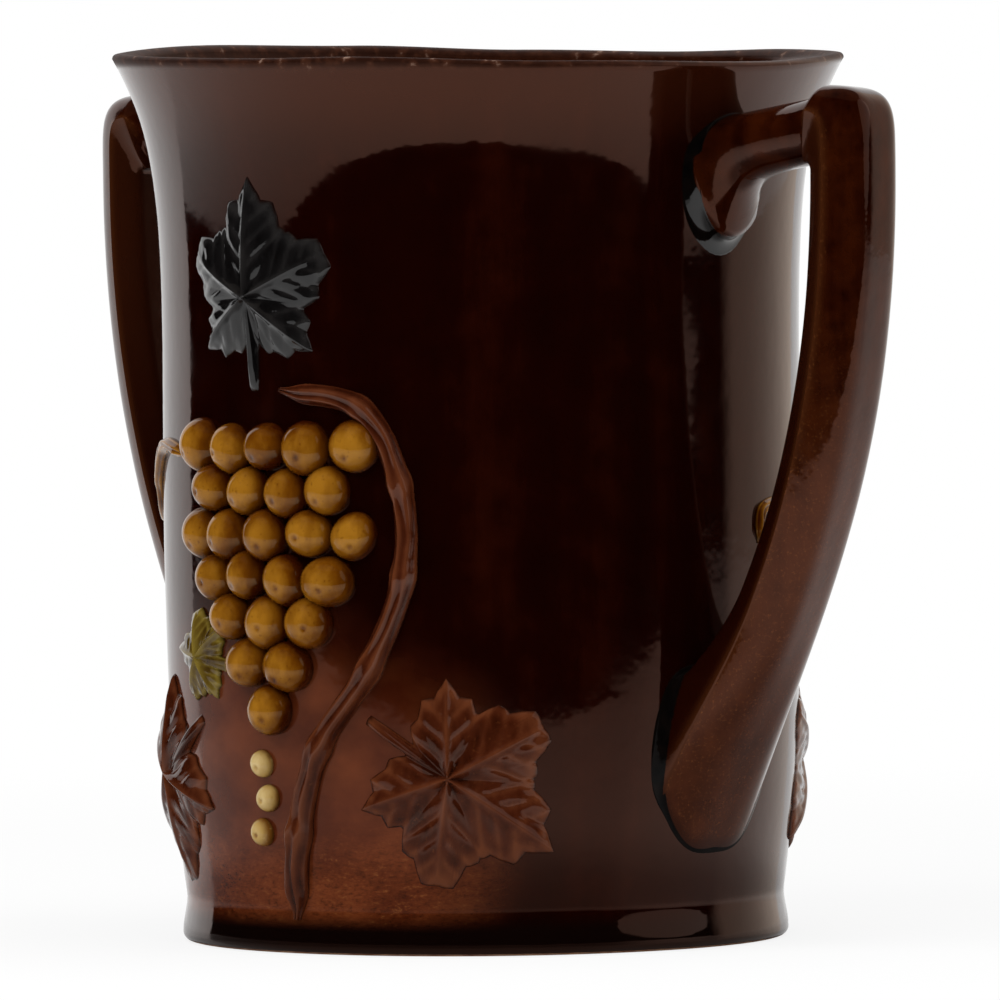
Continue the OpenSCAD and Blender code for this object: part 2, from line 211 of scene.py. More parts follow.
# Ribs, which narrow and fade towards the tips, and veins, spaced by a share of the leaf's radius
RIB_WIDTHS = (0.75, 0.35)
RIB_FADE = 0.6
VEIN_SPACING = 0.17
VEIN_WIDTH = 0.17
VEIN_SLANT = 0.85
# Heights on a leaf of this radius: ribs, veins, the quilting between them, and slow waves
VEINED_RADIUS = 20.0
RIB_RISE = 0.5
VEIN_RISE = 0.2
QUILT_RISE = 0.42
QUILT_DROP = 0.35
LEAF_WAVE = (0.25, 9.0)
# Tones on the slip: plain, and what ribs, veins and edge add and the bays take away
LEAF_TONES = (0.38, 0.5, 0.3, 0.34, 0.22)
GRAPE_RADIUS = 4.55
GRAPE_PITCH = 8.7
GRAPE_RISE = -0.4
BUNCH_SWELL = 1.0
BUNCH_SHIFT = 3.0
BUNCH_HEIGHT = 88.0
GRAPE_ROWS = (5, 4, 5, 4, 3, 2, 1)
BUD_PLACES = ((0, 33), (1, 27), (-1, 21))
BUD_RADIUS = 2.4
NAVEL_WIDTH = 0.55
NAVEL_DEPTH = 0.35
# Tones on a berry: at its sides, what its top adds with which power, and what its navel takes away
BERRY_TONES = (0.1, 0.76, 1.4, 0.5)
# Glaze round a berry: its share, and the height at which it begins and over which it grows
BERRY_POOL = (0.85, 0.9, 1.6)
# Stems: route, half width, rise, how much the knots swell, share that is left at the end, and slip
STEMS = {
    "cane": (((6, 6), (8, 21), (13, 36), (23, 50), (29.5, 66), (29, 82), (22, 95), (6, 98)),
             2.2, 3.0, 0.22, 0.85, "slip_russet"),
    "tendril": (((-22, 86), (-33, 87.5), (-45, 81), (-55, 74), (-65, 77), (-74, 76), (-75, 70)),
                1.2, 1.6, 0.1, 0.7, "slip_ochre"),
}
# Bark: ridges round a stem, and their height as a share of its half width
BARK_RIDGES = 7
BARK_RISE = 0.16
# Tones on a stem: plain, and what bark, knots and its top add
STEM_TONES = (0.42, 0.26, 0.2, 0.1)
# Height on the wall under which glaze gathers at the relief's edges
GATHER_HEIGHT = 0.5
# How far the relief's edges and backs lie inside the wall
EDGE_SINK = 0.25
BACK_SINK = 0.8

# Camera: azimuth 0 looks along +Y, and the aim is a point beside the cup's axis
CAMERA_AZIMUTH = radians(44.25)
CAMERA_DISTANCE = 2760.0
CAMERA_HEIGHT = 188.7
CAMERA_LENS = 565.1
CAMERA_ROLL = radians(0.53)
AIM_HEIGHT = 77.5
AIM_RIGHT = 3.16
AIM_UP = -0.70

# Studio: the white table ends in front of the cup, and the room beyond it is dark
FLOOR_HALF = 4000.0
FLOOR_DROP = 0.1
TABLE_EDGE = 300.0
ROOM_FLOOR_LIFT = 2.0
ROOM_RADIUS = 1250.0
ROOM_HEIGHT = 1700.0
ROOM_LEFT = radians(-128)
ROOM_RIGHT = radians(150)
# Dim wall at the room's right: where it begins and is seen whole, and where it lightens further
WALL_BEGIN = radians(94)
WALL_WHOLE = radians(102)
WALL_LIGHTER = radians(110)
WALL_COLOUR = (1.0, 0.87, 0.75)
WALL_GLOW = 0.6
WALL_LIGHTER_GLOW = 0.4
CEILING_GLOW = 0.12
# Distances from the cup between which its shade on the table ends in reflections
SHADE_REACH = (85.0, 175.0)
SHADE_SHARE = 0.8
SHADE_COLOUR = (0.15, 0.15, 0.15)
# Distances between which the table as it is seen turns from nearly white to plain white
WHITE_REACH = (250.0, 550.0)
WHITE_SHARE = 0.84
# Share of the world's light that falls on things
WORLD_LIGHT = 0.55


def clamp01(x):
    return min(1.0, max(0.0, x))


def smooth01(x):
    c = clamp01(x)
    return c * c * (3 - 2 * c)


def between(a, b, x):
    """Smooth share of the way from a to b at x."""
    return smooth01((x - a) / (b - a))


def mix(a, b, t):
    return a + (b - a) * t


def signed_pow(x, power):
    return copysign(abs(x) ** power, x)


def bell(x):
    return exp(-x * x)


def through(stops, x):
    """Smooth value at x through (place, value) stops."""
    value = stops[0][1]
    for (a, value_a), (b, value_b) in zip(stops, stops[1:]):
        if x > a:
            value = mix(value_a, value_b, between(a, b, x))
    return value


def circle(count):
    """Angles of a whole turn in even steps."""
    return [2 * pi * i / count for i in range(count)]


def wave(point, length):
    """Smooth waviness from -1 to 1 over about the given length in millimetres."""
    return noise.noise(point / length)


def wall_radius(z):
    """Outer radius of the wall at height z."""
    foot = between(WAIST_HEIGHT, FOOT_ROUND, z)
    belly = 1 - clamp01((BELLY_HEIGHT - z) / (BELLY_HEIGHT - WAIST_HEIGHT)) ** BELLY_POWER
    flare = clamp01((z - FLARE_START) / (FLARE_HEIGHT - LIP_EDGE)) ** FLARE_POWER
    return (WAIST_RADIUS + (FOOT_RADIUS - WAIST_RADIUS) * foot
            + (BODY_RADIUS - WAIST_RADIUS) * belly + (RIM_RADIUS - BODY_RADIUS) * flare)


def inner_radius(z):
    thinning = clamp01((z - FLARE_START) / (RIM_HEIGHT - FLARE_START))
    return wall_radius(z) - mix(WALL, LIP, thinning)


def outwards(point):
    """Level direction from the cup's axis to a point."""
    return Vector((point.x, point.y, 0)).normalized()


def on_wall(p, z, rise, turn):
    """Point above the wall, p along it from the middle of the relief, which is turned to its side."""
    angle = p / BODY_RADIUS + turn
    r = wall_radius(z) + rise
    return Vector((r * sin(angle), -r * cos(angle), z))


def add_object(name, data):
    thing = bpy.data.objects.new(name, data)
    scene.collection.objects.link(thing)
    return thing


class Shape:
    """Closed skins of one piece, with named marks on the points for the materials."""

    def __init__(self, *mark_names):
        self.points = []
        self.faces = []
        self.marks = {name: [] for name in mark_names}

    def add(self, spots):
        """Adds spots, which are points and their marks, and gives the number of the first."""
        base = len(self.points)
        for point, *values in spots:
            self.points.append(point * MM)
            for name, value in zip(self.marks, values):
                self.marks[name].append(value)
        return base

    def skin(self, start, rings, end):
        """Adds a skin from a start spot over rings of spots to an end spot."""
        base = self.add([start, *[spot for ring in rings for spot in ring], end])
        sides = len(rings[0])
        first = base + 1
        last = base + len(rings) * sides + 1
        for j in range(sides):
            k = (j + 1) % sides
            self.faces.append((base, first + k, first + j))
            self.faces.append((last, last - sides + j, last - sides + k))
            for i in range(len(rings) - 1):
                a = first + i * sides
                b = a + sides
                self.faces.append((a + j, a + k, b + k, b + j))

    def loop(self, rings):
        """Adds a closed tube through rings of spots that come round to the first one again."""
        base = self.add([spot for ring in rings for spot in ring])
        sides = len(rings[0])
        for i in range(len(rings)):
            a = base + i * sides
            b = base + (i + 1) % len(rings) * sides
            for j in range(sides):
                k = (j + 1) % sides
                self.faces.append((a + j, a + k, b + k, b + j))

    def piece(self, name, node, slot, look=None):
        """Makes the object, which stands for a CAD node and rides on the cup."""
        mesh = bpy.data.meshes.new(name)
        mesh.from_pydata(self.points, [], self.faces)
        for key, values in self.marks.items():
            mesh.attributes.new(key, "FLOAT", "POINT").data.foreach_set("value", values)
        mesh.polygons.foreach_set("use_smooth", [True] * len(mesh.polygons))
        mesh.materials.append(MATERIALS[look or slot])
        piece = add_object(name, mesh)
        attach(piece, "root")
        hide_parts(node)


# Materials

# Heights between which the glaze or its painted shade changes, from the first to the second
GRAIN_HEIGHTS = (26.0, 12.0)
# Painted shade: the foot band darkens between these heights
FOOT_SHADE_HEIGHTS = (8.0, 4.0)
BARE_HEIGHTS = (0.45, 0.2)
THIN_HEIGHTS = (RIM_HEIGHT - 18.0, RIM_HEIGHT - 4.0)
LIP_HEIGHTS = (CUP_HEIGHT - 4.2, CUP_HEIGHT - 2.2)
STRAP_HEIGHTS = (118.0, 70.0)
# Colours of the glaze at single places, among them painted shade and a painted highlight, and the tint
# of what it reflects
DARK_SPECK = (0.015, 0.004, 0.001)
ORANGE_SPARK = (0.2, 0.064, 0.017)
ORANGE_FLECK = (0.13, 0.042, 0.012)
THIN_BAND = (0.034, 0.0072, 0.0021)
VESSEL_INSIDE = (0.017, 0.0036, 0.0011)
# Painted shade on the foot band above the bare ring
FOOT_PAINTED_SHADE = (0.0032, 0.001, 0.0007)
# Painted shade on the strap's face, which turns to the wall: at the top, and darker towards the tail
UPPER_FACE_SHADE = (0.021, 0.0046, 0.0014)
LOWER_FACE_SHADE = (0.0075, 0.0007, 0.0002)
# Line along the arris: thin glaze, and a painted highlight
ARRIS_GLAZE_AND_HIGHLIGHT = (0.044, 0.0115, 0.0033)
HANDLE_SEAT = (0.012, 0.0018, 0.0006)
RELIEF_SEAT = (0.008, 0.0016, 0.0007)
WARM_TINT = (1.0, 0.5, 0.36)
PLAIN_TINT = (1, 1, 1)
GLAZE_IOR = 1.5


def set_inputs(tree, node, inputs):
    """Links inputs of a node from sockets, or sets them to values or to red, green and blue."""
    for key, value in inputs.items():
        socket = node.inputs[key]
        if isinstance(value, bpy.types.NodeSocket):
            tree.links.new(value, socket)
        else:
            socket.default_value = (*value, 1) if socket.type == "RGBA" else value


def add_node(tree, kind, inputs=None, **settings):
    node = tree.nodes.new(kind)
    for key, value in settings.items():
        setattr(node, key, value)
    set_inputs(tree, node, inputs or {})
    return node


def blend(tree, share, a, b):
    """Colour a towards colour b by a share."""
    return add_node(tree, "ShaderNodeMix", {0: share, 6: a, 7: b}, data_type="RGBA").outputs[2]


def ramp(tree, share, stops):
    """Colour ramp through (place, colour) stops."""
    node = add_node(tree, "ShaderNodeValToRGB", {"Fac": share})
    elements = node.color_ramp.elements
    while len(elements) < len(stops):
        elements.new(0.5)
    for element, (place, colour) in zip(elements, stops):
        element.position = place
        element.color = (*colour, 1)
    return node.outputs["Color"]


def span(tree, value, low, high, to_low=0.0, to_high=1.0):
    """Value from low to high, mapped smoothly to another range."""
    node = add_node(
        tree, "ShaderNodeMapRange",
        {"Value": value, "From Min": low, "From Max": high, "To Min": to_low, "To Max": to_high},
        interpolation_type="SMOOTHSTEP")
    return node.outputs["Result"]


def math_node(tree, operation, a, b):
    return add_node(tree, "ShaderNodeMath", {0: a, 1: b}, operation=operation).outputs[0]


def times(tree, a, b):
    return math_node(tree, "MULTIPLY", a, b)


def larger(tree, a, b):
    return math_node(tree, "MAXIMUM", a, b)


def own_coords(tree):
    """Place on the piece, in metres from the middle of the cup's foot."""
    return add_node(tree, "ShaderNodeTexCoord").outputs["Object"]


def clay_noise(tree, size, detail=3.0, stretch=(1, 1, 1), roughness=0.55):
    """Noise on the piece with spots of about the given size in millimetres, stretched by axis."""
    inputs = {"Vector": own_coords(tree), "Scale": [1 / (size * MM * s) for s in stretch]}
    place = add_node(tree, "ShaderNodeMapping", inputs).outputs["Vector"]
    node = add_node(
        tree, "ShaderNodeTexNoise",
        {"Vector": place, "Scale": 1.0, "Detail": detail, "Roughness": roughness})
    return node.outputs["Fac"]


def mark(tree, name):
    return add_node(tree, "ShaderNodeAttribute", attribute_name=name).outputs["Fac"]


def height_mm(tree):
    """Height above the table in millimetres."""
    z = add_node(tree, "ShaderNodeSeparateXYZ", {"Vector": own_coords(tree)}).outputs["Z"]
    return times(tree, z, 1 / MM)


def glaze_runs(tree, size, stretch, detail, mottle_size, share):
    """Runs down the piece by a share, and mottle by the rest."""
    runs = clay_noise(tree, size, detail=detail, stretch=(1, 1, stretch))
    mottle = clay_noise(tree, mottle_size, detail=6.0)
    return math_node(tree, "ADD", times(tree, runs, share), times(tree, mottle, 1 - share))


def uneven_gloss(tree, size, low, high, detail=4.0):
    """Roughness from low to high in spots of about the given size."""
    return span(tree, clay_noise(tree, size, detail=detail), 0.35, 0.7, low, high)


def new_material(name, inputs):
    """Material with its node tree and its shader, whose inputs are set."""
    material = bpy.data.materials.new(name)
    material.use_nodes = True
    tree = material.node_tree
    shader = tree.nodes["Principled BSDF"]
    set_inputs(tree, shader, inputs)
    return material, tree, shader


def glaze_material(name, tint, specular=0.5):
    """Glaze without its colour, whose reflection is tinted where it is seen face on."""
    return new_material(
        name, {"IOR": GLAZE_IOR, "Specular Tint": tint, "Specular IOR Level": specular})


def finish_glaze(tree, shader, colour, roughness, ripple_size, ripple_depth):
    """Links colour and roughness, and gives the glaze its fine ripple."""
    ripple = clay_noise(tree, ripple_size, detail=2.0)
    bump = add_node(
        tree, "ShaderNodeBump", {"Height": ripple, "Strength": 1.0, "Distance": ripple_depth * MM})
    set_inputs(tree, shader, {
        "Base Color": colour, "Roughness": roughness, "Normal": bump.outputs["Normal"]})


def body_glaze():
    """Treacle-brown glaze, nearly black where it is thick, with runs and a worn lip and foot, and
    painted shade on the foot band above the bare ring.
    """
    material, tree, shader = glaze_material("body_glaze", WARM_TINT)
    height = height_mm(tree)
    colour = ramp(tree, glaze_runs(tree, size=9, stretch=9, detail=4.0, mottle_size=7, share=0.6), (
        (0.3, (0.0045, 0.0004, 0.0002)),
        (0.52, (0.0072, 0.0006, 0.0002)),
        (0.72, (0.016, 0.0021, 0.0006))))
    colour = blend(tree, mark(tree, "wash"), colour, grainy_russet(tree, height))
    thin = span(tree, height, *THIN_HEIGHTS, 0.0, 0.6)
    colour = blend(tree, thin, colour, THIN_BAND)
    lip = span(tree, height, *LIP_HEIGHTS)
    worn = ramp(tree, clay_noise(tree, 2.2, detail=5.0), (
        (0.45, (0.016, 0.0034, 0.0012)),
        (0.62, (0.04, 0.011, 0.0042)),
        (0.79, (0.3, 0.2, 0.15))))
    colour = blend(tree, lip, colour, worn)
    inside = mark(tree, "inside")
    colour = blend(tree, inside, colour, VESSEL_INSIDE)
    # Painted shade: the foot band is darker below the waist
    colour = blend(tree, span(tree, height, *FOOT_SHADE_HEIGHTS), colour, FOOT_PAINTED_SHADE)
    bare = span(tree, height, *BARE_HEIGHTS)
    biscuit = ramp(tree, clay_noise(tree, 3.0, detail=5.0), (
        (0.35, (0.2, 0.075, 0.035)), (0.7, (0.42, 0.24, 0.14))))
    colour = blend(tree, bare, colour, biscuit)
    rough = uneven_gloss(tree, 11, 0.045, 0.1)
    for place, roughness in ((lip, 0.65), (inside, 0.3), (bare, 0.8)):
        rough = larger(tree, rough, times(tree, place, roughness))
    finish_glaze(tree, shader, colour, rough, ripple_size=5.0, ripple_depth=0.035)
    return material


def grainy_russet(tree, height):
    """Russet wash, which breaks into dark specks and orange sparks low on the wall."""
    colour = ramp(tree, clay_noise(tree, 10, detail=6.0, stretch=(1.4, 1.4, 1)), (
        (0.36, (0.072, 0.0125, 0.0036)), (0.66, (0.15, 0.034, 0.01))))
    low = span(tree, height, *GRAIN_HEIGHTS)
    grain = clay_noise(tree, 0.9, detail=6.0, stretch=(2.2, 2.2, 1), roughness=0.9)
    specks = span(tree, grain, 0.48, 0.66, 0.0, 0.75)
    colour = blend(tree, times(tree, specks, low), colour, DARK_SPECK)
    sparks = span(tree, grain, 0.46, 0.34, 0.0, 0.8)
    return blend(tree, times(tree, sparks, low), colour, ORANGE_SPARK)


def handle_glaze():
    """The same glaze where it is thinner: brown with fine orange flecks. The arris is lightest, with
    thin glaze and a painted highlight there, and the strap's face, turned to the wall, has painted
    shade that is darker towards the tail.
    """
    material, tree, shader = glaze_material("handle_glaze", WARM_TINT)
    runs = glaze_runs(tree, size=5, stretch=7, detail=5.0, mottle_size=4, share=0.55)
    thick = ramp(tree, runs, ((0.36, (0.0065, 0.0005, 0.0001)), (0.66, (0.03, 0.005, 0.0008))))
    thin = ramp(tree, runs, ((0.32, (0.019, 0.0032, 0.0008)), (0.7, (0.052, 0.012, 0.0033))))
    low = span(tree, height_mm(tree), *STRAP_HEIGHTS)
    face = mark(tree, "face")
    ridge = mark(tree, "ridge")
    face_shade = blend(tree, low, UPPER_FACE_SHADE, LOWER_FACE_SHADE)
    colour = blend(tree, low, thick, thin)
    # Painted shade on the strap's face, darker towards the tail
    colour = blend(tree, times(tree, face, 0.9), colour, face_shade)
    # Lighter line along the arris: thin glaze, and a painted highlight
    colour = blend(tree, times(tree, ridge, 0.8), colour, ARRIS_GLAZE_AND_HIGHLIGHT)
    strewn = larger(tree, ridge, times(tree, low, 0.55))
    on_back = times(tree, strewn, math_node(tree, "SUBTRACT", 1.0, face))
    grain = clay_noise(tree, 0.55, roughness=0.75)
    flecks = times(tree, span(tree, grain, 0.54, 0.74), on_back)
    colour = blend(tree, flecks, colour, ORANGE_FLECK)
    colour = blend(tree, mark(tree, "pool"), colour, HANDLE_SEAT)
    gloss = uneven_gloss(tree, 6, 0.05, 0.13)
    finish_glaze(tree, shader, colour, gloss, ripple_size=3.2, ripple_depth=0.05)
    return material


def pooled_glaze(name, specular):
    """Thick glaze in a corner, which is black and reflects without a tint."""
    material, tree, shader = glaze_material(name, PLAIN_TINT, specular)
    colour = ramp(tree, clay_noise(tree, 3, detail=4.0), (
        (0.35, (0.0014, 0.0011, 0.0011)), (0.75, (0.0042, 0.0024, 0.0019))))
    gloss = uneven_gloss(tree, 4, 0.04, 0.1, detail=3.0)
    finish_glaze(tree, shader, colour, gloss, ripple_size=2.5, ripple_depth=0.03)
    return material


def slip_material(name, recess, plain, light, fleck, tint=PLAIN_TINT):
    """Coloured slip under clear glaze: brown pools in the recesses and thin glaze on the ridges."""
    material, tree, shader = glaze_material(name, tint)
    drift = clay_noise(tree, 4.5, detail=5.0, stretch=(1, 1, 2))
    tone = math_node(tree, "ADD", mark(tree, "ridge"), span(tree, drift, 0.3, 0.7, -0.2, 0.2))
    colour = ramp(tree, tone, ((0.12, recess), (0.45, plain), (0.95, light)))
    spots = span(tree, clay_noise(tree, 0.9, roughness=0.7), 0.58, 0.74, 0.0, 0.6)
    colour = blend(tree, spots, colour, fleck)
    colour = blend(tree, mark(tree, "pool"), colour, RELIEF_SEAT)
    gloss = uneven_gloss(tree, 5, 0.05, 0.13)
    finish_glaze(tree, shader, colour, gloss, ripple_size=2.2, ripple_depth=0.03)
    return material


# Slips: colours in the recesses, plain, on the ridges and of the flecks, and a tint where it has one
SLIPS = {
    "slip_black": (
        (0.0022, 0.0018, 0.0018), (0.0052, 0.0046, 0.0046),
        (0.016, 0.0145, 0.014), (0.008, 0.007, 0.0072)),
    "slip_russet": (
        (0.019, 0.003, 0.0008), (0.05, 0.0098, 0.0032),
        (0.105, 0.028, 0.0098), (0.09, 0.024, 0.0075), (1.0, 0.7, 0.58)),
    "slip_olive": (
        (0.022, 0.0072, 0.0008), (0.088, 0.052, 0.0062),
        (0.2, 0.14, 0.022), (0.12, 0.08, 0.01)),
    "slip_ochre": (
        (0.04, 0.0062, 0.0003), (0.118, 0.034, 0.001),
        (0.3, 0.125, 0.009), (0.085, 0.02, 0.0008), (1.0, 0.78, 0.5)),
    "slip_cream": (
        (0.19, 0.072, 0.01), (0.43, 0.27, 0.08),
        (0.64, 0.48, 0.22), (0.5, 0.33, 0.12)),
}
MATERIALS = {
    "body_glaze": body_glaze(),
    "handle_glaze": handle_glaze(),
    "root_pool": pooled_glaze("root_pool", specular=0.5),
    "tail_pool": pooled_glaze("tail_pool", specular=0.1),
}
for slip, colours in SLIPS.items():
    MATERIALS[slip] = slip_material(slip, *colours)


# Vessel

def shares(count):
    """Even shares up to 1, without 0."""
    return [i / count for i in range(1, count + 1)]


def quarter_turn(count):
    """Even angles up to a quarter turn, without 0."""
    return [pi / 2 * t for t in shares(count)]


def vessel_profile():
    """Radii and heights: outside from under the base, over the lip, and inside down to the floor."""
    ring_outer = FOOT_RADIUS - FOOT_ROUND
    ring_inner = ring_outer - FOOT_RING
    outside = [(t * (ring_inner - BASE_RECESS), BASE_RECESS) for t in shares(BASE_RINGS)]
    outside += [(ring_inner - SLOPE_ROW, SLOPE_ROW), (ring_inner, 0.0), (ring_inner + FACE_ROW, 0.0)]
    outside += [(ring_outer - FACE_ROW, 0.0), (ring_outer, 0.0)]
    for a in quarter_turn(FOOT_RINGS):
        outside.append((ring_outer + FOOT_ROUND * sin(a), FOOT_ROUND * (1 - cos(a))))
    for t in shares(WALL_RINGS):
        z = mix(FOOT_ROUND, CUP_HEIGHT - LIP_EDGE, t)
        outside.append((wall_radius(z), z))
    lip = []
    lip_top = RIM_RADIUS - LIP_EDGE
    for a in quarter_turn(LIP_EDGE_RINGS):
        lip.append((lip_top + LIP_EDGE * cos(a), CUP_HEIGHT - LIP_EDGE * (1 - sin(a))))
    for a in quarter_turn(LIP_RINGS):
        lip.append((mix(lip_top, inner_radius(RIM_HEIGHT), sin(a)),
                    mix(RIM_HEIGHT, CUP_HEIGHT, cos(a))))
    inside = []
    fillet_height = FLOOR_HEIGHT + FLOOR_FILLET
    fillet_middle = inner_radius(fillet_height) - FLOOR_FILLET
    for t in shares(INNER_RINGS):
        z = mix(RIM_HEIGHT, fillet_height, t)
        inside.append((inner_radius(z), z))
    for a in quarter_turn(FILLET_RINGS):
        inside.append((fillet_middle + FLOOR_FILLET * cos(a),
                       fillet_height - FLOOR_FILLET * sin(a)))
    inside += [(fillet_middle * (1 - t), FLOOR_HEIGHT) for t in shares(BASE_RINGS)[:-1]]
    return outside, lip, inside


def wall_wave(point):
    """Waviness of the wall, which dies away at the foot and the lip."""
    grown = smooth01((point.z - WAVES_BEGIN) / WAVES_GROW)
    left = smooth01((CUP_HEIGHT - WAVES_END - point.z) / WAVES_DIE)
    waves = sum(size * wave(point, length) for size, length in (SLOW_WAVE, QUICK_WAVE))
    return grown * left * waves


def rim_dip(azimuth, z):
    """How far the warped lip lies lower at this azimuth from the front of the cup."""
    first = RIM_DIPS[0][0]
    dip = through(RIM_DIPS, (degrees(azimuth) - first) % 360 + first)
    return dip * between(RIM_DIP_START, CUP_HEIGHT, z)


def russet_wash(point):
    """Share of russet wash on the wall round the relief of either side."""
    angle = atan2(point.x, -point.y)
    across = min(abs(angle - turn) for turn in (0, pi, -pi)) * BODY_RADIUS
    extent = hypot(across / WASH_EXTENT[0], (point.z - WASH_HEIGHT) / WASH_EXTENT[1])
    share = smooth01((1 - extent + WASH_WAVE[0] * wave(point, WASH_WAVE[1])) / WASH_EDGE)
    low = bell((point.z - WASH_LOW_HEIGHT) / WASH_LOW_REACH)
    return share * (WASH_STRENGTH + WASH_LOW_STRENGTH * low)


def vessel_ring(r, z, washed, inside, segments=256):
    """Ring of the vessel, with the waves of its wall and the warp of its lip."""
    ring = []
    for angle in circle(segments):
        point = Vector((r * cos(angle), r * sin(angle), z))
        wash = russet_wash(point) if washed else 0.0
        point *= (r + wall_wave(point)) / r
        point.z = z - rim_dip(angle + pi / 2, z)
        ring.append((point, wash, inside))
    return ring


def cup_body():
    shape = Shape("wash", "inside")
    outside, lip, inside = vessel_profile()
    rings = [vessel_ring(r, z, True, 0.0) for r, z in outside]
    rings += [vessel_ring(r, z, False, 0.0) for r, z in lip]
    rings += [vessel_ring(r, z, False, 1.0) for r, z in inside]
    shape.skin((UP * BASE_RECESS, 0.0, 0.0), rings, (UP * FLOOR_HEIGHT, 0.0, 1.0))
    shape.piece("glazed_cup_body", "cup_body", "body_glaze")


# Handles

ARM_START = wall_radius(ARM_HEIGHT)
KNUCKLE_R = HANDLE_REACH - KNUCKLE_RADIUS
ARM_END = KNUCKLE_R - KNUCKLE_RADIUS * sin(ARM_RISE)
ARM_LENGTH = (ARM_END - ARM_START) / cos(ARM_RISE)
KNUCKLE_TURN = pi / 2 + ARM_RISE
KNUCKLE_Z = (ARM_HEIGHT + (ARM_END - ARM_START) * tan(ARM_RISE)
             - KNUCKLE_RADIUS * cos(ARM_RISE))
TAIL_WAY = Vector((sin(TAIL_LEAN), cos(TAIL_LEAN)))
STRAP_A = Vector((HANDLE_REACH, KNUCKLE_Z))
STRAP_B = STRAP_A - Vector((0, STRAP_PULL))
STRAP_D = Vector((wall_radius(TAIL_HEIGHT), TAIL_HEIGHT))
STRAP_C = STRAP_D + TAIL_PULL * TAIL_WAY


def strap_line(t):
    s = 1 - t
    return STRAP_A * s ** 3 + STRAP_B * 3 * t * s * s + STRAP_C * 3 * t * t * s + STRAP_D * t ** 3


def strap_way(t):
    s = 1 - t
    return (STRAP_B - STRAP_A) * s * s + (STRAP_C - STRAP_B) * 2 * t * s + (STRAP_D - STRAP_C) * t * t


def centre(u):
    """Centre line: u from 0 to 1 along the arm, to 2 round the knuckle and to 3 down the strap."""
    if u < 1:
        return Vector((ARM_START, ARM_HEIGHT)) + u * ARM_LENGTH * Vector(
            (cos(ARM_RISE), sin(ARM_RISE)))
    if u < 2:
        a = KNUCKLE_TURN * (2 - u)
        return Vector((KNUCKLE_R, KNUCKLE_Z)) + KNUCKLE_RADIUS * Vector((cos(a), sin(a)))
    if u < 3:
        return strap_line(u - 2)
    return STRAP_D - (u - 3) * 3 * TAIL_PULL * TAIL_WAY


def heading(u):
    if u < 1:
        return ARM_RISE
    if u < 2:
        return ARM_RISE - KNUCKLE_TURN * (u - 1)
    way = strap_way(min(u, 3) - 2)
    return atan2(way.y, way.x)


def root_share(u):
    return exp(-max(0, u) * ARM_LENGTH / ROOT_LENGTH)


def strap_share(u):
    return between(SHOULDER_BEGIN, SHOULDER_END, u)


def tail_share(u):
    return between(TAIL_BEGIN, 3, u)


def knuckle_reach(u, side, rise):
    """Reach round the knuckle's middle of a square with a rounded corner, beyond the centre line."""
    a = KNUCKLE_TURN * (2 - u)
    across = (abs(cos(a)) / side) ** KNUCKLE_POWER
    up = (abs(sin(a)) / rise) ** KNUCKLE_POWER
    return (across + up) ** (-1 / KNUCKLE_POWER) - KNUCKLE_RADIUS


def half_width(u):
    return mix(ARM_HALF_WIDTH, STRAP_HALF_WIDTH, strap_share(u)) + ROOT_SPREAD * root_share(u)


def handle_point(u, a, lift):
    """Point on the handle's skin: u along it, a round it, from the side over the back."""
    c = centre(u)
    h = heading(u)
    strap = strap_share(u)
    tail = tail_share(u)
    web = between(WEB_BEGIN, 3, u)
    spread = TAIL_SPREAD * tail + WEB_SPREAD * web * max(0, -sin(a))
    squareness = TAIL_BACK_ROUND if sin(a) > 0 else TAIL_POWER
    across = (half_width(u) + spread) * signed_pow(cos(a), mix(1, squareness, tail))
    oval = abs(sin(a)) ** OVAL_POWER
    arris = strap * knuckle_reach(u, KNUCKLE_RADIUS, ARRIS_RISE) if u < 2 else 0.0
    if sin(a) > 0:
        back = knuckle_reach(u, KNUCKLE_RADIUS + STRAP_BACK, KNUCKLE_RISE) if u < 2 else STRAP_BACK
        reach = mix(ARM_HALF_THICKNESS, back, strap) - TAIL_THIN * tail
        shape = 1 - abs(cos(a)) ** mix(BACK_POWER, TAIL_BACK_POWER, tail)
        shape *= 1 - STRAP_SKEW * cos(a) * (1 - tail)
    else:
        reach = -(mix(ARM_HALF_THICKNESS, STRAP_FACE, smooth01(u - 1)) + ROOT_DROP * root_share(u)
                  + TAIL_FILL * tail)
        shape = 1 - (1 - clamp01((1 - abs(cos(a))) / BEVEL_SHARE)) ** BEVEL_POWER
    out = mix(arris, reach, mix(oval, shape, strap))
    return Vector((c.x - out * sin(h), across, c.y + out * cos(h) + lift))


def above_wall(point):
    return hypot(point.x, point.y) - wall_radius(point.z)


def wall_meeting(a, lift, inside, outside, height, tries=24):
    """The u at which the skin's line at angle a is at a height above the wall."""
    for _ in range(tries):
        middle = (inside + outside) / 2
        if above_wall(handle_point(middle, a, lift)) < height:
            inside = middle
        else:
            outside = middle
    return (inside + outside) / 2


# Ends between which the handle's skin meets the wall: at the arm's root and at the strap's tail
ROOT_SEAT = (-0.6, 0.9)
TAIL_SEAT = (3.4, 2.4)


def handle_stations():
    """Places of the skin's rings on the centre line."""
    arm = [(i / ARM_RINGS) ** ROOT_CROWDING for i in range(ARM_RINGS)]
    knuckle = [1 + i / KNUCKLE_RINGS for i in range(KNUCKLE_RINGS)]
    strap = [3 - (1 - i / STRAP_RINGS) ** TAIL_CROWDING for i in range(STRAP_RINGS + 1)]
    return arm + knuckle + strap


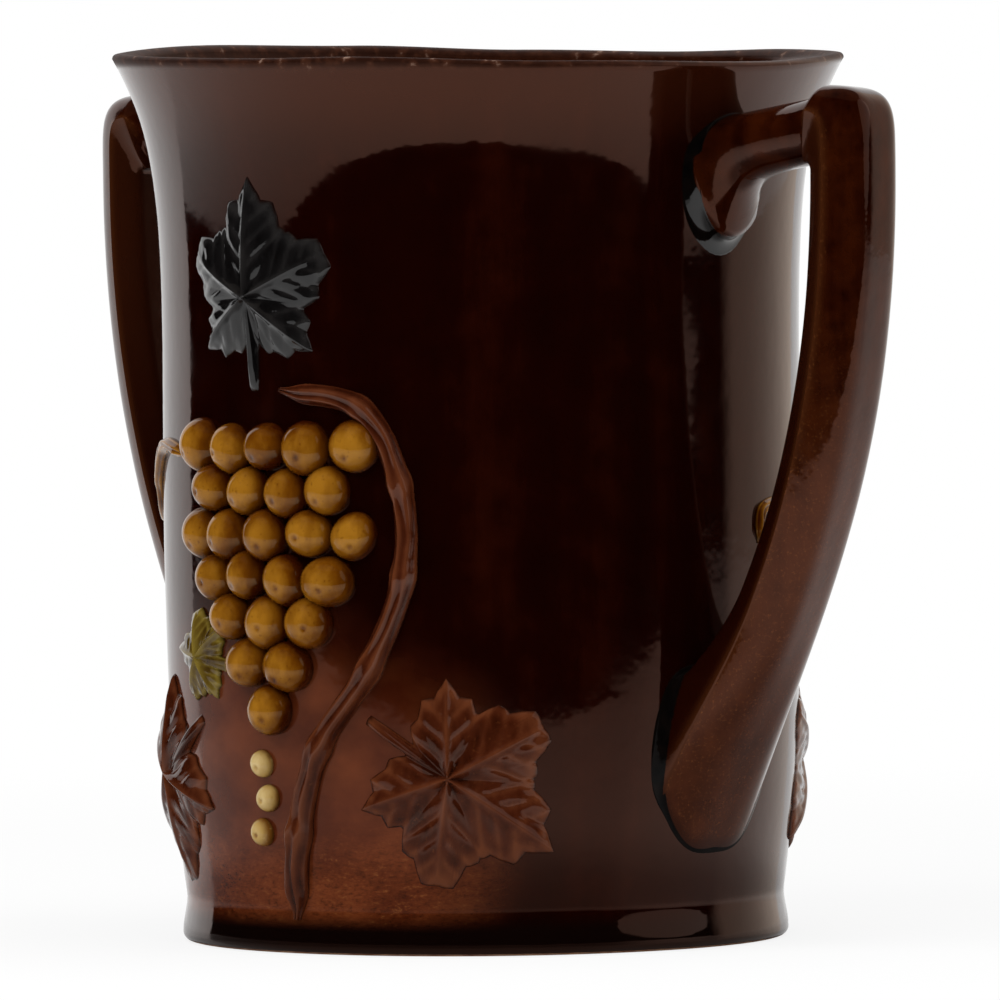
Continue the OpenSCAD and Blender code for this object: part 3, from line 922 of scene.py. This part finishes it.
def handle_spot(u, a, lift, spin):
    """Point on the wavy skin of a handle, turned to its side, with its marks."""
    point = handle_point(u, a, lift)
    height = above_wall(point)
    middle = centre(u)
    line = Vector((middle.x, 0, middle.y + lift))
    swell = 1 - HANDLE_WAVE[0] * (0.5 + 0.5 * wave(spin @ point, HANDLE_WAVE[1]))
    point = line + (point - line) * mix(1, swell, smooth01(height / WAVE_CLEARANCE))
    from_arris = half_width(u) * (1 - abs(cos(a)))
    ridge = strap_share(u) * bell(from_arris / ARRIS_WIDTH)
    face = strap_share(u) * smooth01(-sin(a) / FACE_EDGE)
    pool = smooth01((SEAT_GLAZE - height) / SEAT_GLAZE)
    return (spin @ point, ridge, face, pool)


def handle(name, node, turn, lift, sides=96):
    shape = Shape("ridge", "face", "pool")
    spin = Matrix.Rotation(turn, 3, "Z")
    angles = circle(sides)
    roots = [wall_meeting(a, lift, *ROOT_SEAT, -SEAT_SINK) for a in angles]
    tails = [wall_meeting(a, lift, *TAIL_SEAT, -SEAT_SINK) for a in angles]
    rings = []
    for u in handle_stations():
        ring = []
        for a, root, tail in zip(angles, roots, tails):
            to_tail = between(TAIL_FIT, 3, u)
            fitted = u + root * (1 - smooth01(u)) + (tail - 3) * to_tail
            ring.append(handle_spot(fitted, a, lift, spin))
        rings.append(ring)
    start = Vector((ARM_START * SKIN_END, 0, ARM_HEIGHT + lift - ROOT_DROP / 3))
    end = Vector((STRAP_D.x * SKIN_END, 0, STRAP_D.y + lift))
    shape.skin((spin @ start, 0.0, 0.0, 1.0), rings, (spin @ end, 0.0, 0.0, 1.0))
    shape.piece(name, node, "handle_glaze")


def evenly(points, count):
    """Numbers of the points on a closed line that lie evenly along it."""
    lengths = [(points[i] - points[i - 1]).length for i in range(len(points))]
    step = sum(lengths) / count
    chosen = []
    travelled = 0.0
    for i, length in enumerate(lengths):
        travelled += length
        if travelled >= len(chosen) * step and len(chosen) < count:
            chosen.append(i)
    return chosen


def smoothed(points, reach=2):
    """Points of a closed line, each averaged with its neighbours."""
    n = len(points)
    return [sum((points[(i + k) % n] for k in range(-reach, reach + 1)), Vector()) / (2 * reach + 1)
            for i in range(n)]


def glaze_pool(node, look, turn, lift, seat, stops, level, sides=720, count=120, steps=8):
    """Black glaze that ran together in the corner round a seat, as a hollow fillet."""
    shape = Shape()
    spin = Matrix.Rotation(turn, 3, "Z")
    feet = []
    tops = []
    for a in circle(sides):
        foot = handle_point(wall_meeting(a, lift, *seat, 0.0), a, lift)
        size = through(stops, foot.z - level - lift)
        feet.append(foot)
        tops.append(handle_point(wall_meeting(a, lift, *seat, POOL_HEIGHT * size), a, lift))
    chosen = evenly(feet, count)
    feet = smoothed([feet[i] for i in chosen])
    tops = smoothed([tops[i] for i in chosen])
    middle = sum(feet, Vector()) / count
    ways = []
    for j, foot in enumerate(feet):
        along = (feet[(j + 1) % count] - feet[j - 1]).normalized()
        away = along.cross(outwards(foot)).normalized()
        ways.append(away if away.dot(foot - middle) > 0 else -away)
    rings = []
    behind, within = POOL_BACK
    for foot, top, away in zip(feet, tops, smoothed(ways)):
        swell = 1 + POOL_WAVE[0] * wave(foot, POOL_WAVE[1])
        size = through(stops, foot.z - level - lift) * swell
        inwards = outwards(foot) * -behind
        toe = foot + away * POOL_WIDTH * size
        grow = (wall_radius(toe.z) - POOL_TOE_SINK) / hypot(toe.x, toe.y)
        toe = Vector((toe.x * grow, toe.y * grow, toe.z))
        top = top - away * POOL_TOP_SINK
        line = []
        for i in range(steps + 1):
            t = i / steps
            line.append(top * (1 - t) ** 2 + foot * 2 * t * (1 - t) + toe * t * t)
        line.append(toe + inwards - away * POOL_TOE_BACK)
        line.append(foot + inwards - away * within)
        line.append(top - away * within)
        rings.append([(spin @ point,) for point in line])
    shape.loop(rings)
    shape.piece(f"{node}_{look}", node, "handle_glaze", look)


def glaze_pools(node, turn, lift):
    glaze_pool(node, "root_pool", turn, lift, ROOT_SEAT, ROOT_POOL, ARM_HEIGHT)
    glaze_pool(node, "tail_pool", turn, lift, TAIL_SEAT, TAIL_POOL, TAIL_HEIGHT)


# Relief

def lobe_distance(a, lobe):
    return (a - lobe + 540) % 360 - 180


def leaf_outline(radius, a):
    """Reach of a vine leaf at angle a in degrees from its tip, with its teeth and its stalk."""
    blade = radius * max(
        share * (1 - abs(lobe_distance(a, lobe)) / LOBE_TAPER) for lobe, share in LEAF_LOBES)
    tooth = abs((a / TOOTH_ANGLE * 2) % 2 - 1)
    blade *= 1 - TOOTH_DEPTH * (1 - tooth)
    if abs(a - 180) > STALK_ANGLE:
        return blade
    stalk = STALK_HALF_WIDTH / max(1e-6, abs(sin(radians(a))))
    return max(blade, min(STALK_SHARE * radius, stalk))


def leaf_veins(r, a, radius):
    """Height shares of the ribs and the side veins of a leaf at a point on it."""
    lobe, share = min(LEAF_LOBES, key=lambda item: abs(lobe_distance(a, item[0])))
    turn = radians(lobe_distance(a, lobe))
    along = r * cos(turn)
    beside = abs(r * sin(turn))
    reach = clamp01(along / (radius * share))
    rib = bell(beside / mix(*RIB_WIDTHS, reach)) * (1 - RIB_FADE * reach)
    phase = ((along - VEIN_SLANT * beside) / (VEIN_SPACING * radius)) % 1 - 0.5
    clear_of_rib = smooth01((beside - 0.3) / 0.8) * smooth01(r / (0.25 * radius))
    return rib, bell(phase / VEIN_WIDTH) * clear_of_rib


def leaf(side, name, turn, angles=240, rings_up=30):
    place, radius, tip, slip = LEAVES[name]
    shape = Shape("ridge", "pool")
    plain, on_rib, on_vein, on_edge, in_bay = LEAF_TONES

    def spot(share, a, sunk=None):
        r = share * leaf_outline(radius, a)
        way = radians(tip + a)
        p = place[0] + r * cos(way)
        z = place[1] + r * sin(way)
        if sunk is not None:
            return (on_wall(p, z, -sunk, turn), 0.0, 1.0)
        rib_share = max(
            clamp01(1 - abs(lobe_distance(a, lobe)) / LOBE_HALF_ANGLE) for lobe, _ in LEAF_LOBES)
        rib, vein = leaf_veins(r, a, radius)
        dome = LEAF_EDGE + (LEAF_RISE - LEAF_EDGE) * (1 - share * share) * mix(BAY_SHARE, 1, rib_share)
        fine = QUILT_RISE * (1 - vein) * smooth01((1 - share) / 0.3) - QUILT_DROP
        fine += RIB_RISE * rib + VEIN_RISE * vein
        fine += LEAF_WAVE[0] * wave(on_wall(p, z, 0, turn), LEAF_WAVE[1])
        edge = sqrt(1 - clamp01(1 - (1 - share) / LEAF_EDGE_ROUND) ** 2)
        rise = (dome + fine * radius / VEINED_RADIUS + EDGE_SINK) * edge - EDGE_SINK
        ridge = plain + on_rib * rib + on_vein * vein + on_edge * smooth01((share - 0.8) / 0.15) * edge
        ridge -= in_bay * (1 - rib_share) * (1 - share)
        pool = smooth01((GATHER_HEIGHT - rise) / 0.6)
        return (on_wall(p, z, rise, turn), clamp01(ridge), pool)

    steps = [360 * i / angles for i in range(angles)]
    levels = [1 - (i / rings_up) ** LEAF_CROWDING for i in range(rings_up)]
    rings = [[spot(1.0, a, BACK_SINK) for a in steps]]
    rings += [[spot(level, a) for a in steps] for level in levels]
    middle = on_wall(*place, -BACK_SINK, turn)
    shape.skin((middle, 0.0, 1.0), rings, spot(0.0, 0.0))
    shape.piece(f"{side}_vine_{name}", f"{side}_{name}", slip)


def berry(shape, place, radius, rise, turn, squeeze, tilt, navel, tone=0.0, sides=28, rings_up=18):
    """Adds a berry pressed on the wall. It is drawn out along its tilt and has a navel near its top."""
    lowest = acos(max(-1, -(rise + EDGE_SINK + 0.2) / radius))
    base = on_wall(*place, 0, turn)
    at_side, on_top, power, in_navel = BERRY_TONES
    most, begin, over = BERRY_POOL
    out = outwards(base)
    across = UP.cross(out)
    middle = base + out * rise
    rings = []
    for i in range(rings_up, 0, -1):
        polar = lowest * i / rings_up
        ring = []
        for a in circle(sides):
            reach = radius * sin(polar) * (1 + squeeze * cos(2 * (a - tilt)))
            x = reach * cos(a)
            y = reach * sin(a)
            pit = bell(hypot(x - navel[0], y - navel[1]) / NAVEL_WIDTH)
            depth = radius * cos(polar) - NAVEL_DEPTH * pit
            ridge = at_side + tone + on_top * max(0, cos(polar)) ** power - in_navel * pit
            pool = most * smooth01((begin - (depth + rise)) / over)
            ring.append((middle + across * x + UP * y + out * depth, clamp01(ridge), pool))
        rings.append(ring)
    foot = middle + out * radius * cos(lowest)
    top = middle + out * radius
    shape.skin((foot, 0.0, 1.0), rings, (top, at_side + on_top + tone, 0.0))


def grape_bunch(side, turn, seed):
    shape = Shape("ridge", "pool")
    draw = random.Random(seed).uniform
    row_pitch = GRAPE_PITCH * sin(radians(60))
    for row, count in enumerate(GRAPE_ROWS):
        for i in range(count):
            along = (i - (count - 1) / 2) * GRAPE_PITCH
            fullness = 1 - (along / (max(GRAPE_ROWS) / 2 * GRAPE_PITCH)) ** 2
            place = (BUNCH_SHIFT + along + draw(-0.5, 0.5),
                     BUNCH_HEIGHT - row * row_pitch + draw(-0.5, 0.5))
            berry(shape, place, GRAPE_RADIUS * draw(0.94, 1.06),
                  GRAPE_RISE + BUNCH_SWELL * fullness + draw(-0.35, 0.15), turn,
                  draw(0.0, 0.06), draw(0, pi),
                  (draw(-1.2, 1.2), draw(-2.2, -0.6)), draw(-0.16, 0.12))
    shape.piece(f"{side}_vine_grapes", f"{side}_grape_bunch", "slip_ochre")


def buds(side, turn, seed):
    shape = Shape("ridge", "pool")
    draw = random.Random(seed).uniform
    for place in BUD_PLACES:
        berry(shape, place, BUD_RADIUS, 0.0, turn, draw(0.02, 0.07), draw(0, pi),
              (draw(-0.4, 0.4), draw(-0.8, -0.3)))
    shape.piece(f"{side}_vine_buds", f"{side}_buds", "slip_cream")


def spline(a, b, c, d, t):
    return (b + (c - a) * t / 2 + (a - 2.5 * b + 2 * c - d / 2) * t * t
            + (1.5 * b - a / 2 - 1.5 * c + d / 2) * t ** 3)


def route_points(route, steps):
    """Smooth curve through the points of a route on the wall."""
    spots = [Vector(p) for p in route]
    spots = [2 * spots[0] - spots[1], *spots, 2 * spots[-1] - spots[-2]]
    points = []
    for a, b, c, d in zip(spots, spots[1:], spots[2:], spots[3:]):
        points += [spline(a, b, c, d, k / steps) for k in range(steps)]
    return [*points, spots[-2]]


def stem(side, name, turn, sides=22, steps=16):
    """Half-round stem along a route, with bark ridges, a knot at each route point, and round ends."""
    route, half, rise, knots, taper, slip = STEMS[name]
    shape = Shape("ridge", "pool")
    plain, on_bark, on_knot, on_top = STEM_TONES
    points = route_points(route, steps)
    n = len(points) - 1
    rings = []
    for i, middle in enumerate(points):
        way = points[min(n, i + 1)] - points[max(0, i - 1)]
        side_way = Vector((way.y, -way.x)).normalized()
        end = smooth01(min(i, n - i) / (0.35 * steps))
        knot = bell((i % steps - steps * round((i % steps) / steps)) / 2.2)
        size = (0.25 + 0.75 * end) * (1 + knots * knot) * mix(1, taper, i / n)
        ring = []
        for j in range(sides):
            a = pi * 1.16 * j / (sides - 1) - pi * 0.08
            p = middle + side_way * half * size * cos(a)
            bark = sin(BARK_RIDGES * a + 2.2 * wave(Vector((i / 7, j / 9, turn)), 1.0))
            height = rise * size * sin(a) + BARK_RISE * half * bark * max(0, sin(a))
            height = max(-EDGE_SINK, height)
            ridge = plain + on_bark * bark + on_knot * knot + on_top * sin(a)
            pool = smooth01((GATHER_HEIGHT - height) / 0.7)
            ring.append((on_wall(p.x, p.y, height, turn), clamp01(ridge), pool))
        ring.append((on_wall(middle.x, middle.y, -BACK_SINK, turn), 0.0, 1.0))
        rings.append(ring)
    ends = [on_wall(points[i].x, points[i].y, -EDGE_SINK, turn) for i in (0, n)]
    shape.skin((ends[0], 0.0, 1.0), rings, (ends[1], 0.0, 1.0))
    shape.piece(f"{side}_vine_{name}", f"{side}_{name}", slip)


def vine(side, turn, seed):
    for name in LEAVES:
        leaf(side, name, turn)
    grape_bunch(side, turn, seed)
    buds(side, turn, seed + 1)
    for name in STEMS:
        stem(side, name, turn)


# Studio

def azimuth_way(azimuth):
    """Level direction at an azimuth, where 0 is the front of the cup and 90 degrees its right."""
    return Vector((sin(azimuth), -cos(azimuth), 0))


def place_camera():
    data = bpy.data.cameras.new("camera")
    data.sensor_width = 36.0
    data.lens = CAMERA_LENS
    data.clip_end = 100.0
    camera = add_object("camera", data)
    place = azimuth_way(CAMERA_AZIMUTH) * CAMERA_DISTANCE + UP * CAMERA_HEIGHT
    axis = UP * AIM_HEIGHT
    right = (axis - place).cross(UP).normalized()
    aim = axis + right * AIM_RIGHT + UP * AIM_UP
    forward = (aim - place).normalized()
    right = forward.cross(UP).normalized()
    up = right.cross(forward)
    rolled_up = up * cos(CAMERA_ROLL) + right * sin(CAMERA_ROLL)
    rolled_right = right * cos(CAMERA_ROLL) - up * sin(CAMERA_ROLL)
    turn = Matrix((rolled_right, rolled_up, -forward)).transposed()
    camera.matrix_world = Matrix.Translation(place * MM) @ turn.to_4x4()
    scene.camera = camera


def stage_mesh(name, points, faces, material):
    mesh = bpy.data.meshes.new(name)
    mesh.from_pydata([p * MM for p in points], [], faces)
    mesh.materials.append(material)
    stage = add_object(name, mesh)
    return stage


def seen_directly(tree):
    """1 for rays from the camera and for reflections, 0 for the light that falls on things."""
    path = add_node(tree, "ShaderNodeLightPath").outputs
    return larger(tree, path["Is Camera Ray"],
                  larger(tree, path["Is Glossy Ray"], path["Is Transmission Ray"]))


def make_floor():
    """White polished table. It keeps a faint shadow of the cup, and its far part is plain white."""
    material, tree, shader = new_material("white_table", {"Roughness": 0.9, "Specular IOR Level": 0.0})
    white = add_node(tree, "ShaderNodeEmission", {"Color": (1, 1, 1), "Strength": 1.0})
    length = add_node(tree, "ShaderNodeVectorMath", {0: own_coords(tree)}, operation="LENGTH")
    distance = times(tree, length.outputs["Value"], 1 / MM)
    mirrored = add_node(tree, "ShaderNodeLightPath").outputs["Is Glossy Ray"]
    shade = times(tree, mirrored, span(tree, distance, *SHADE_REACH, SHADE_SHARE, 0.0))
    paint = ramp(tree, clay_noise(tree, 900, detail=2.0), (
        (0.3, (0.86, 0.86, 0.86)), (0.7, (0.9, 0.9, 0.9))))
    set_inputs(tree, shader, {"Base Color": blend(tree, shade, paint, SHADE_COLOUR)})
    far = span(tree, distance, *WHITE_REACH, WHITE_SHARE, 1.0)
    plain = times(tree, seen_directly(tree), math_node(tree, "SUBTRACT", far, shade))
    table = add_node(tree, "ShaderNodeMixShader", {0: plain, 1: shader.outputs[0], 2: white.outputs[0]})
    polish = add_node(tree, "ShaderNodeBsdfGlossy", {"Color": (1, 1, 1), "Roughness": 0.25})
    glance = add_node(tree, "ShaderNodeFresnel", {"IOR": GLAZE_IOR}).outputs["Fac"]
    polished = add_node(tree, "ShaderNodeMixShader", {
        0: times(tree, glance, mirrored), 1: table.outputs[0], 2: polish.outputs[0]})
    set_inputs(tree, tree.nodes["Material Output"], {"Surface": polished.outputs[0]})
    h = FLOOR_HALF
    corners = [Vector((x, y, -FLOOR_DROP)) for x, y in ((-h, -h), (h, -h), (h, h), (-h, h))]
    stage_mesh("white_table", corners, [(0, 1, 2, 3)], material)


def make_dark_room(steps=120):
    """The dark room in front of the table and its ceiling, which only reflections see."""
    material, tree, shader = new_material("dark_room", {
        "Base Color": (0, 0, 0), "Specular IOR Level": 0.0, "Emission Color": WALL_COLOUR})
    set_inputs(tree, shader, {"Emission Strength": mark(tree, "glow")})
    front = azimuth_way(CAMERA_AZIMUTH)
    right = Vector((-front.y, front.x, 0))
    corners = ((TABLE_EDGE, -ROOM_RADIUS), (TABLE_EDGE, ROOM_RADIUS),
               (ROOM_RADIUS, ROOM_RADIUS), (ROOM_RADIUS, -ROOM_RADIUS))
    points = [front * d + right * s + UP * ROOM_FLOOR_LIFT for d, s in corners]
    faces = [(0, 1, 2, 3)]
    glow = [0.0] * 4
    top = UP * ROOM_HEIGHT
    for i in range(steps + 1):
        azimuth = mix(ROOM_LEFT, ROOM_RIGHT, i / steps)
        foot = azimuth_way(CAMERA_AZIMUTH + azimuth) * ROOM_RADIUS
        points += [foot, foot + top]
        dim = WALL_GLOW * between(WALL_BEGIN, WALL_WHOLE, azimuth)
        more = WALL_LIGHTER_GLOW * between(WALL_LIGHTER, ROOM_RIGHT, azimuth)
        glow += [dim + more] * 2
    faces += [(4 + 2 * i, 6 + 2 * i, 7 + 2 * i, 5 + 2 * i) for i in range(steps)]
    ceiling = len(points)
    points += [azimuth_way(azimuth) * ROOM_RADIUS + top for azimuth in circle(steps)]
    glow += [CEILING_GLOW] * steps
    faces.append(tuple(range(ceiling, ceiling + steps)))
    room = stage_mesh("dark_room", points, faces, material)
    room.data.attributes.new("glow", "FLOAT", "POINT").data.foreach_set("value", glow)
    for ray in ("camera", "diffuse", "transmission", "volume_scatter", "shadow"):
        setattr(room, f"visible_{ray}", False)


def add_softbox(name, azimuth, elevation, distance, width, height, power,
                shape="RECTANGLE", mirrored=True):
    """Area light that faces the cup. Its azimuth is from the camera's side, in degrees."""
    data = bpy.data.lights.new(name, "AREA")
    data.shape = shape
    data.size = width * MM
    data.size_y = height * MM
    data.energy = power
    lamp = add_object(name, data)
    lamp.visible_glossy = mirrored
    azimuth = CAMERA_AZIMUTH + radians(azimuth)
    elevation = radians(elevation)
    way = azimuth_way(azimuth) * cos(elevation) + UP * sin(elevation)
    lamp.location = (way * distance + UP * AIM_HEIGHT) * MM
    lamp.rotation_mode = "QUATERNION"
    lamp.rotation_quaternion = (-way).to_track_quat("-Z", "Y")


def make_world():
    world = bpy.data.worlds.new("white_room")
    scene.world = world
    world.use_nodes = True
    tree = world.node_tree
    share = span(tree, seen_directly(tree), 0.0, 1.0, WORLD_LIGHT, 1.0)
    set_inputs(tree, tree.nodes["Background"], {"Color": (1, 1, 1), "Strength": share})


scene.view_settings.view_transform = "Standard"
place_camera()
make_world()
make_floor()
make_dark_room()
add_softbox("key_softbox", azimuth=-38, elevation=48, distance=1050, width=750, height=1000, power=6.0,
            mirrored=False)
add_softbox("top_softbox", azimuth=60, elevation=78, distance=1150, width=700, height=500, power=4.0,
            mirrored=False)
add_softbox("dim_disc", azimuth=74, elevation=25, distance=1000, width=1000, height=1000, power=1.3,
            shape="DISK")

cup_body()
RIGHT_HANDLE = ("right_handle", HANDLE_TURN, RIGHT_HANDLE_LIFT)
LEFT_HANDLE = ("left_handle", pi - HANDLE_TURN, 0.0)
handle("glazed_right_handle", *RIGHT_HANDLE)
handle("glazed_left_handle", *LEFT_HANDLE)
glaze_pools(*RIGHT_HANDLE)
glaze_pools(*LEFT_HANDLE)
vine("front", 0.0, 11)
vine("back", pi, 23)
